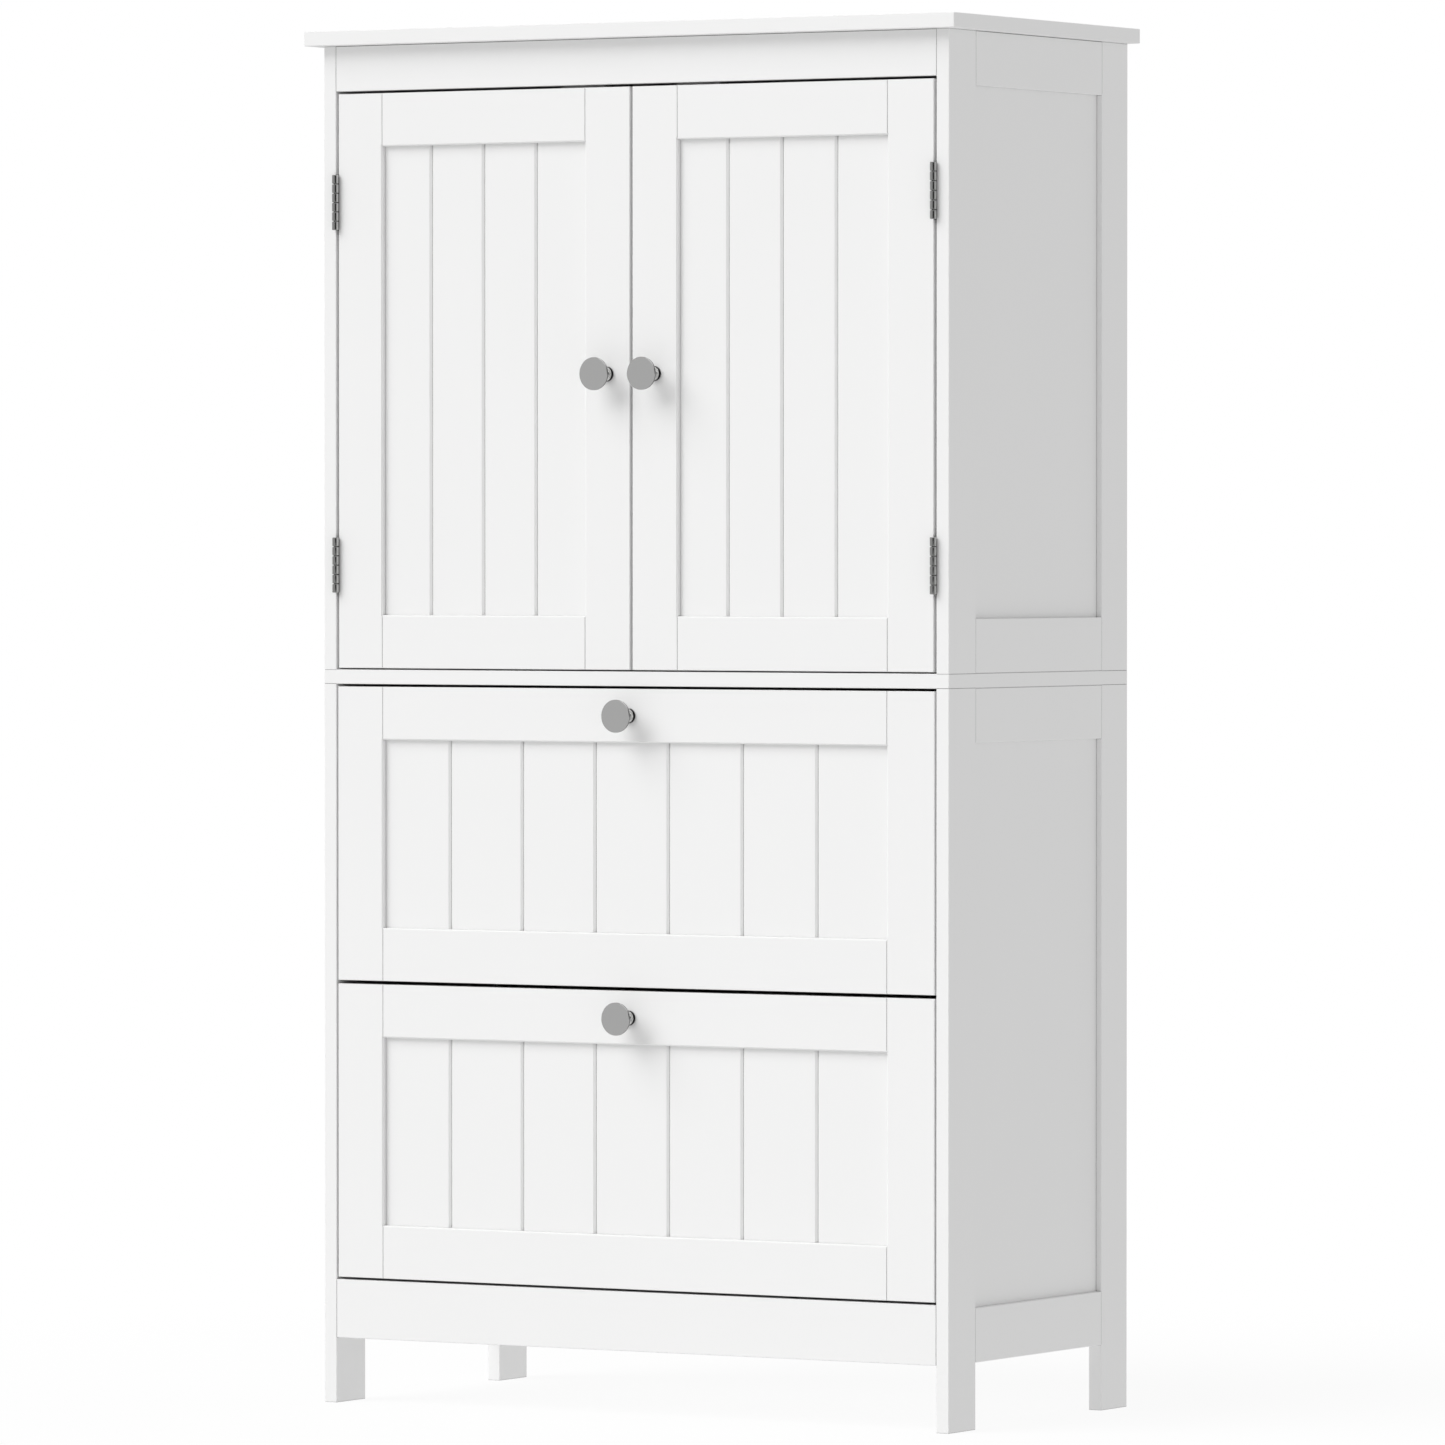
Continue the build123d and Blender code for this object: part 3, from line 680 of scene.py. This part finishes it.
def hinge_axis(side):
    """The pin's line at one side, and its radius."""
    low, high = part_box("hinge_pins")
    radius = (high.y - low.y) / 2
    return Vector((side * (high.x - radius), (low.y + high.y) / 2, 0)), radius


def leaf_planes(word, side):
    """A side's two leaves: part, body, CAD solid, the wood's plane, and the way off it."""
    post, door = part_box("right_front_post")[0].x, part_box("right_door_stiles")[1].x
    return (("post", "cabinet", "post_hinge_leaves", side * post, -side),
            ("door", f"{word}_door", f"{word}_door_hinge_leaves", side * door, side))


class CABINET_OT_hinges(Operator):
    """Form the hinge leaves with their knuckles and countersunk holes, and the pins."""

    bl_idname = "cabinet.hinges"
    bl_label = "Form the hinges"

    def execute(self, context):
        sizes, metal = fittings(context)
        # The hinges' plating carries painted shade in its seams and against the posts and doors, within
        # 2.5 mm.
        steel = plated_metal("hinge_plating", metal.hinge, POLISHED, stretch=(1, 1, 0.1), shade_reach=0.0025)
        for word, side in SIDES:
            axis, radius = hinge_axis(side)
            for level, base in hinge_levels(sizes):
                for first, (part, body, solid, wood, away) in enumerate(leaf_planes(word, side)):
                    leaf = self.leaf(f"{level}_{word}_{part}_leaf", sizes, wood, away, axis, base, first)
                    fit(leaf, body, "hinge_steel", steel, solid)
                pin = turned(f"{level}_{word}_hinge_pin",
                             eased(radius, sizes.hinge_height, 0.4 * radius, 4), sizes.sides // 2)
                settle(pin, axis + Vector((0, 0, base)))
                fit(pin, "cabinet", "hinge_steel", steel, "hinge_pins")
        return {"FINISHED"}

    def leaf(self, name, sizes, wood, away, axis, base, first):
        """A leaf with its two countersunk holes, and every second knuckle from the first on."""
        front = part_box("fascia")[0].y
        face = wood + away * sizes.leaf
        leaf = slab(name, (min(wood, face), front, base),
                    (max(wood, face), front + sizes.leaf_width, base + sizes.hinge_height),
                    LEAF_EASE * sizes.leaf)
        middle = Vector((face, front + sizes.leaf_width / 2, base + sizes.hinge_height / 2))
        for step in (-0.5, 0.5):
            tool = turned("sink", [(sizes.leaf_hole, -2 * sizes.leaf),
                                   (sizes.leaf_hole, sizes.leaf_hole - sizes.leaf_sink),
                                   (sizes.leaf_sink, 0), (sizes.leaf_sink, sizes.leaf)],
                          sizes.sides // 2)
            settle(tool, middle + Vector((0, 0, step * sizes.leaf_hole_pitch)), (away, 0, 0))
            combine(leaf, tool, "DIFFERENCE")
        pitch = (sizes.hinge_height + sizes.knuckle_gap) / sizes.knuckles
        for place in range(first, sizes.knuckles, 2):
            low = base + place * pitch
            knuckle = self.knuckle(sizes, wood, face, axis, low, pitch - sizes.knuckle_gap)
            combine(leaf, knuckle)
        return leaf

    def knuckle(self, sizes, wood, face, axis, low, height):
        """A rolled end with eased rims, the web from the leaf, and the bore for the pin."""
        radius = sizes.barrel
        knuckle = turned("knuckle", eased(radius, height, 0.2 * radius), sizes.sides // 2)
        settle(knuckle, axis + Vector((0, 0, low)))
        web = slab("web", (min(wood, face) + SHY, axis.y, low + SHY),
                   (max(wood, face) - SHY, axis.y + 1.5 * radius, low + height - SHY),
                   LEAF_EASE * sizes.leaf)
        combine(knuckle, web)
        bore = hinge_axis(1)[1] + sizes.bore_play
        tool = turned("bore", [(bore, -radius), (bore, height + radius)], sizes.sides // 2)
        settle(tool, axis + Vector((0, 0, low)))
        combine(knuckle, tool, "DIFFERENCE")
        return knuckle


class CABINET_OT_hinge_screws(Operator):
    """Sink two screws through each hinge leaf."""

    bl_idname = "cabinet.hinge_screws"
    bl_label = "Sink the hinge screws"

    def execute(self, context):
        sizes, metal = fittings(context)
        steel = plated_metal("hinge_screw_plating", metal.hinge, TURNED)
        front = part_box("fascia")[0].y
        head, shank, reach = 0.96 * sizes.leaf_sink, 0.85 * sizes.leaf_hole, 0.010
        seat = 0.94 * sizes.leaf
        places = {"cabinet": [], "left_door": [], "right_door": []}
        for word, side in SIDES:
            for _, base in hinge_levels(sizes):
                for _, body, _, wood, away in leaf_planes(word, side):
                    for step in (-0.5, 0.5):
                        height = base + sizes.hinge_height / 2 + step * sizes.leaf_hole_pitch
                        place = (wood + away * seat, front + sizes.leaf_width / 2, height)
                        places[body].append((place, (away, 0, 0)))
        pattern = sunk_screw("screw", head, shank, reach, sizes.sides // 3)
        for body, spots in places.items():
            copies(f"{body}_hinge_screws", pattern, spots, body, "screw_steel", steel)
        bpy.data.objects.remove(pattern)
        return {"FINISHED"}


# ---- catches ----
CATCH_EASE = 0.0006  # radius of a case's edges
WINDOW_REACH = 0.41  # half a window's width, as a share of the case's
WINDOW_SILL = 0.14  # under a window, as a share of the height below the ears
WINDOW_HEAD = 1.1  # over a window, as a share of the ears' thickness
WINDOW_DEPTH = 0.6  # depth of a window, as a share of the case's
MAGNET_DEPTH = 0.58  # how far back a magnet ends, as a share of the case's depth
MAGNET_PLAY = 0.0002  # between a window and what it holds
MAGNET_EASE = 0.0003  # radius of a magnet's edges
POLE = 0.0011  # thickness of a pole plate
POLE_EASE = 0.00015  # radius of its edges
CATCH_SCREW = {"head": 0.0032, "height": 0.0019, "shank": 0.0015, "reach": 0.012}
STRIKE_SCREW = {"head": 0.0025, "shank": 0.0015, "reach": 0.010}
STRIKE_SEAT = 0.00004  # how far a strike screw's head lies under the plate's face


def catch_places():
    """Each catch's side and the middle of its width, and the corners of both catches together."""
    low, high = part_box("door_catches")
    plate_low, plate_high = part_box("right_door_strike_plate")
    middle = (plate_low.x + plate_high.x) / 2
    return [(word, side * middle) for word, side in SIDES], low, high


class CABINET_OT_catches(Operator):
    """Make the magnetic catches and the plates that they hold."""

    bl_idname = "cabinet.catches"
    bl_label = "Make the catches"

    def execute(self, context):
        sizes, metal = fittings(context)
        plastic = moulded_plastic("catch_plastic", metal.plastic)
        zinc = plated_metal("fitting_zinc", metal.zinc, PRESSED)
        ferrite = sintered_ferrite("ferrite", metal.magnet)
        places, low, high = catch_places()
        for word, x in places:
            ear = high.x - abs(x)
            case = self.case(f"{word}_catch_case", sizes, x, ear, low, high)
            fit(case, "cabinet", "catch_plastic", plastic, "door_catches")
            magnet, poles = self.magnet(word, sizes, x, low, high)
            fit(magnet, "cabinet", "fitting_steel", ferrite)
            fit(poles, "cabinet", "fitting_steel", zinc)
            finish(f"{word}_door_strike_plate", zinc)
        return {"FINISHED"}

    def window(self, sizes, low, high):
        """The opening in the front of a case, as half its width and its two heights."""
        height = high.z - sizes.catch_ear - low.z
        return (WINDOW_REACH * sizes.catch_core, low.z + WINDOW_SILL * height,
                high.z - WINDOW_HEAD * sizes.catch_ear)

    def case(self, name, sizes, x, ear, low, high):
        """A case with an ear on each side, a slot through each ear, and the magnet's window."""
        half = sizes.catch_core / 2
        case = slab(name, (x - half, low.y, low.z), (x + half, high.y, high.z), CATCH_EASE)
        ears = slab("ears", (x - ear, low.y + SHY, high.z - sizes.catch_ear),
                    (x + ear, high.y - SHY, high.z - SHY), CATCH_EASE)
        combine(case, ears)
        slot = (ear + half) / 2
        for side in (-1, 1):
            tool = turned("slot", [(sizes.catch_slot, -sizes.catch_ear),
                                   (sizes.catch_slot, 2 * sizes.catch_ear)], sizes.sides // 3)
            self.lengthen(tool, sizes.catch_slot_length / 2 - sizes.catch_slot)
            settle(tool, (x + side * slot, (low.y + high.y) / 2, high.z - sizes.catch_ear))
            combine(case, tool, "DIFFERENCE")
        reach, bottom, top = self.window(sizes, low, high)
        tool = slab("window", (x - reach, low.y - CATCH_EASE, bottom),
                    (x + reach, low.y + WINDOW_DEPTH * (high.y - low.y), top), CATCH_EASE / 2)
        combine(case, tool, "DIFFERENCE")
        return case

    def lengthen(self, tool, reach):
        """Pulls a round cutter out into a slot along Y."""
        edit_all()
        for side in (-1, 1):
            choose("VERT", lambda vertex: side * vertex.co.y > 0.02 * abs(vertex.co.x))
            bpy.ops.transform.translate(value=(0, side * reach, 0))
        leave_edit()

    def magnet(self, word, sizes, x, low, high):
        """The magnet, and the two steel plates above and below it that pull on the strike."""
        reach, bottom, top = self.window(sizes, low, high)
        reach, bottom, top = reach - MAGNET_PLAY, bottom + MAGNET_PLAY, top - MAGNET_PLAY
        back = low.y + MAGNET_DEPTH * (high.y - low.y)
        poles = [slab("pole", (x - reach, low.y, edge), (x + reach, back, edge + POLE), POLE_EASE)
                 for edge in (bottom, top - POLE)]
        magnet = slab(f"{word}_catch_magnet", (x - reach + POLE, low.y + 2 * POLE, bottom + POLE),
                      (x + reach - POLE, back, top - POLE), MAGNET_EASE)
        return magnet, gather(f"{word}_catch_pole_plates", poles)


class CABINET_OT_catch_screws(Operator):
    """Fit the screws of the catches and of their strike plates."""

    bl_idname = "cabinet.catch_screws"
    bl_label = "Fit the catch screws"

    def execute(self, context):
        sizes, metal = fittings(context)
        zinc = plated_metal("catch_screw_zinc", metal.zinc, TURNED)
        places, low, high = catch_places()
        slot = (high.x - places[-1][1] + sizes.catch_core / 2) / 2
        pattern = domed_screw("screw", **CATCH_SCREW, sides=sizes.sides // 2)
        down = (0, 0, -1)
        spots = [((x + side * slot, (low.y + high.y) / 2, high.z - sizes.catch_ear), down)
                 for _, x in places for side in (-1, 1)]
        copies("catch_screws", pattern, spots, "cabinet", "screw_steel", zinc)
        bpy.data.objects.remove(pattern)
        pattern = sunk_screw("screw", **STRIKE_SCREW, sides=sizes.sides // 2)
        for word, x in places:
            plate_low, plate_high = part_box(f"{word}_door_strike_plate")
            seat, height = plate_high.y - STRIKE_SEAT, (plate_low.z + plate_high.z) / 2
            spots = [((x + step * sizes.strike_hole_pitch, seat, height), TO_BACK)
                     for step in (-0.5, 0.5)]
            copies(f"{word}_door_strike_screws", pattern, spots, f"{word}_door", "screw_steel", zinc)
        bpy.data.objects.remove(pattern)
        return {"FINISHED"}


# ---- shelf pins and nails ----
class CABINET_OT_shelf_pins(Operator):
    """Make the four shelf pins, each with a flat tongue under the shelf."""

    bl_idname = "cabinet.shelf_pins"
    bl_label = "Make the shelf pins"

    def execute(self, context):
        sizes, metal = fittings(context)
        zinc = plated_metal("shelf_pin_zinc", metal.zinc, PRESSED)
        low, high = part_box("shelf_pins")
        wall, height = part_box("right_front_post")[0].x, (low.z + high.z) / 2
        rows = (low.y + sizes.pin_tongue_width / 2, high.y - sizes.pin_tongue_width / 2)
        pattern = self.pin("pin", sizes, (high.z - low.z) / 2, high.x - wall)
        spots = [((side * wall, row, height), (side, 0, 0)) for _, side in SIDES for row in rows]
        copies("turned_shelf_pins", pattern, spots, "cabinet", "fitting_steel", zinc, "shelf_pins")
        bpy.data.objects.remove(pattern)
        return {"FINISHED"}

    def pin(self, name, sizes, radius, reach):
        """A peg along Z with a rounded nose and a groove, and the tongue behind it."""
        nose, groove, step = 0.4 * radius, 0.86 * radius, 0.1 * reach
        peg = turned(name, [(radius, -step), (radius, step), (groove, 1.5 * step),
                            (groove, 2.5 * step), (radius, 3 * step),
                            *rounded(radius - nose, reach - nose, nose, 0, pi / 2)],
                     sizes.sides // 3)
        combine(peg, self.tongue(sizes, 0.12 * radius))
        return peg

    def tongue(self, sizes, ease):
        """A flat tongue with two rounded corners and eased rims."""
        width, out = sizes.pin_tongue_width, sizes.pin_tongue_length
        corner = Vector((width / 2, sizes.pin_tongue_height / 2, 0))
        piece = block("tongue", Vector((0, 0, -out)) - corner, corner)
        choose("EDGE", lambda edge: all(vertex.co.z < -out / 2 for vertex in edge.verts)
               and edge.verts[0].co.x * edge.verts[1].co.x > 0)
        bpy.ops.mesh.bevel(offset=0.25 * width, segments=5, affect="EDGES")
        choose("EDGE", lambda edge: edge.calc_face_angle(0) > SMOOTH_BELOW)
        bpy.ops.mesh.bevel(offset=ease, segments=2, affect="EDGES")
        leave_edit()
        return piece


class CABINET_OT_back_nails(Operator):
    """Drive the small nails that hold the back panels in the posts' rebates."""

    bl_idname = "cabinet.back_nails"
    bl_label = "Drive the back nails"

    def execute(self, context):
        sizes, metal = fittings(context)
        zinc = plated_metal("nail_zinc", metal.zinc, DRAWN)
        head, shank, proud, point, taper = 0.0016, 0.0006, 0.0003, 0.012, 0.010
        pattern = turned("nail", [(0.2 * shank, -point), (shank, -taper), (shank, 0), (head, 0),
                                  (head, 0.5 * proud), (0.6 * head, proud)], sizes.sides // 4)
        margin, rows = 0.024, 6
        for level in ("upper", "lower"):
            low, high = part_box(f"{level}_back_panel")
            line = (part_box("right_back_post")[0].x + high.x) / 2
            rise = (high.z - low.z - 2 * margin) / (rows - 1)
            spots = [((side * line, high.y, low.z + margin + row * rise), TO_BACK)
                     for _, side in SIDES for row in range(rows)]
            if level == "lower":
                spots += self.bottom_row(high.y)
            copies(f"{level}_back_nails", pattern, spots, "cabinet", "screw_steel", zinc)
        bpy.data.objects.remove(pattern)
        return {"FINISHED"}

    def bottom_row(self, back):
        """Nails into the back edge of the bottom board."""
        low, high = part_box("bottom_board")
        count = 5
        pitch = (high.x - low.x) / count
        return [((low.x + pitch * (place + 0.5), back, (low.z + high.z) / 2), TO_BACK)
                for place in range(count)]


# ---- studio ----
FLOOR_SIZE = 60  # metres; the floor is pure white long before its edge
SENSOR = 36.0  # millimetres, the sensor's width
SIGHT = 100.0  # metres, how far the camera sees


def paper_floor(settings):
    """Lit white paper that keeps the cabinet's shadow and runs out into the white of the room."""
    recipe = Recipe("paper_floor")
    grain = recipe.noise(scale=40.0, detail=6.0)
    paper = recipe.nodes["Principled BSDF"]
    recipe.feed(paper, {"Base Color": recipe.tint(grain, settings.floor_tone, 0.995, 1.005),
                        "Roughness": 0.9, "Specular IOR Level": 0.0})
    white = recipe.node("Emission", {"Strength": recipe.seen_level(settings.mirrored_room)})
    distance = recipe.node("VectorMath", {0: recipe.place()}, "Value", operation="LENGTH")
    clear = recipe.spread(distance, settings.floor_white, 1.0, start=settings.floor_near,
                          end=settings.floor_clear)
    glow = recipe.node("Emission", {"Strength": settings.floor_glow})
    seen = recipe.blend(clear, paper.outputs[0], white)
    shown = recipe.blend(recipe.seen_rays(), glow, seen)
    recipe.feed(recipe.nodes["Material Output"], {"Surface": shown})
    return recipe.owner


class CABINET_OT_studio(Operator):
    """Set up the floor, the white room, the lamp and the camera."""

    bl_idname = "cabinet.studio"
    bl_label = "Set up the studio"

    def execute(self, context):
        settings = context.scene.cabinet_studio
        bpy.ops.mesh.primitive_plane_add(size=FLOOR_SIZE)
        floor = named("paper_floor")
        floor.data.materials.append(paper_floor(settings))
        self.room(context.scene, settings)
        self.key_lamp(settings)
        self.camera(context.scene, settings)
        context.scene.view_settings.view_transform = "Standard"
        return {"FINISHED"}

    def room(self, scene, settings):
        """A world whose light on the cabinet differs from what the camera and metal see."""
        recipe = Recipe("white_room", "worlds")
        scene.world = recipe.owner
        white = (1, 1, 1, 1)
        light = recipe.nodes["Background"]
        recipe.feed(light, {"Color": white, "Strength": self.sloped_light(recipe, settings)})
        seen = recipe.node("Background", {
            "Color": white, "Strength": self.mirrored_light(recipe, settings)})
        shown = recipe.blend(recipe.seen_rays(), light.outputs[0], seen)
        recipe.feed(recipe.nodes["World Output"], {"Surface": shown})

    def sloped_light(self, recipe, settings):
        """The light on the cabinet, stronger from one way, and never below 0."""
        light = recipe.math("ADD", recipe.along(settings.room_slope), settings.room_light)
        return recipe.math("MAXIMUM", light, 0.0)

    def mirrored_light(self, recipe, settings):
        """1 for the camera; for metal and gloss, the room with its soft box and its dark flag."""
        box = self.zone(recipe, settings.box_way, settings.box_width, settings.mirrored_room,
                        settings.box_level)
        flag = self.zone(recipe, settings.flag_way, settings.flag_width, 1.0, 0.0)
        return recipe.seen_level(recipe.math("MULTIPLY", box, flag))

    def zone(self, recipe, way, width, outside, inside):
        """One level on the rays within an angle about a way, and another on all the others."""
        return recipe.spread(recipe.along(Vector(way).normalized()), outside, inside,
                             start=cos(0.53 * width), end=cos(0.47 * width))

    def key_lamp(self, settings):
        """A large lamp, too far off for its rays to spread, and not mirrored in metal."""
        turn = Vector(settings.key_way).to_track_quat("Z", "Y").to_euler()
        bpy.ops.object.light_add(type="SUN", rotation=turn)
        lamp = named("key_lamp")
        lamp.data.energy = settings.key_strength
        lamp.data.angle = settings.key_width
        lamp.visible_glossy = False

    def camera(self, scene, settings):
        """The camera, turned to its aim in the plane of the front."""
        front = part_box("fascia")[0].y
        aim = Vector((settings.aim_right, front, settings.aim_height))
        turn, rise = settings.azimuth, settings.elevation
        back = Vector((sin(turn) * cos(rise), -cos(turn) * cos(rise), sin(rise)))
        bpy.ops.object.camera_add(location=aim + back * settings.distance)
        camera = named("studio_camera")
        camera.data.lens = settings.lens
        camera.data.sensor_width = SENSOR
        camera.data.clip_end = SIGHT
        camera.rotation_euler = (-back).to_track_quat("-Z", "Y").to_euler()
        scene.camera = camera


# ---- sidebar and registration ----
STEPS = (CABINET_OT_lacquer_boards, CABINET_OT_finish_inside, CABINET_OT_knobs,
         CABINET_OT_knob_screws, CABINET_OT_hinges, CABINET_OT_hinge_screws, CABINET_OT_catches,
         CABINET_OT_catch_screws, CABINET_OT_shelf_pins, CABINET_OT_back_nails, CABINET_OT_studio)


class CABINET_PT_sidebar(Panel):
    """All the steps, in the order in which they are run."""

    bl_idname = "CABINET_PT_sidebar"
    bl_label = "Pantry cabinet"
    bl_space_type = "VIEW_3D"
    bl_region_type = "UI"
    bl_category = "Cabinet"

    def draw(self, context):
        for step in STEPS:
            self.layout.operator(step.bl_idname)


SETTINGS = {"cabinet_finish": FinishSettings, "cabinet_metal": MetalSettings,
            "cabinet_fittings": FittingSettings, "cabinet_studio": StudioSettings}
CLASSES = (*SETTINGS.values(), *STEPS, CABINET_PT_sidebar)


def register():
    for item in CLASSES:
        bpy.utils.register_class(item)
    for name, group in SETTINGS.items():
        setattr(bpy.types.Scene, name, PointerProperty(type=group))


def unregister():
    for name in SETTINGS:
        delattr(bpy.types.Scene, name)
    for item in reversed(CLASSES):
        bpy.utils.unregister_class(item)


def main():
    register()
    for step in STEPS:
        getattr(bpy.ops.cabinet, step.bl_idname.removeprefix("cabinet."))()


if __name__ == "__main__":
    main()
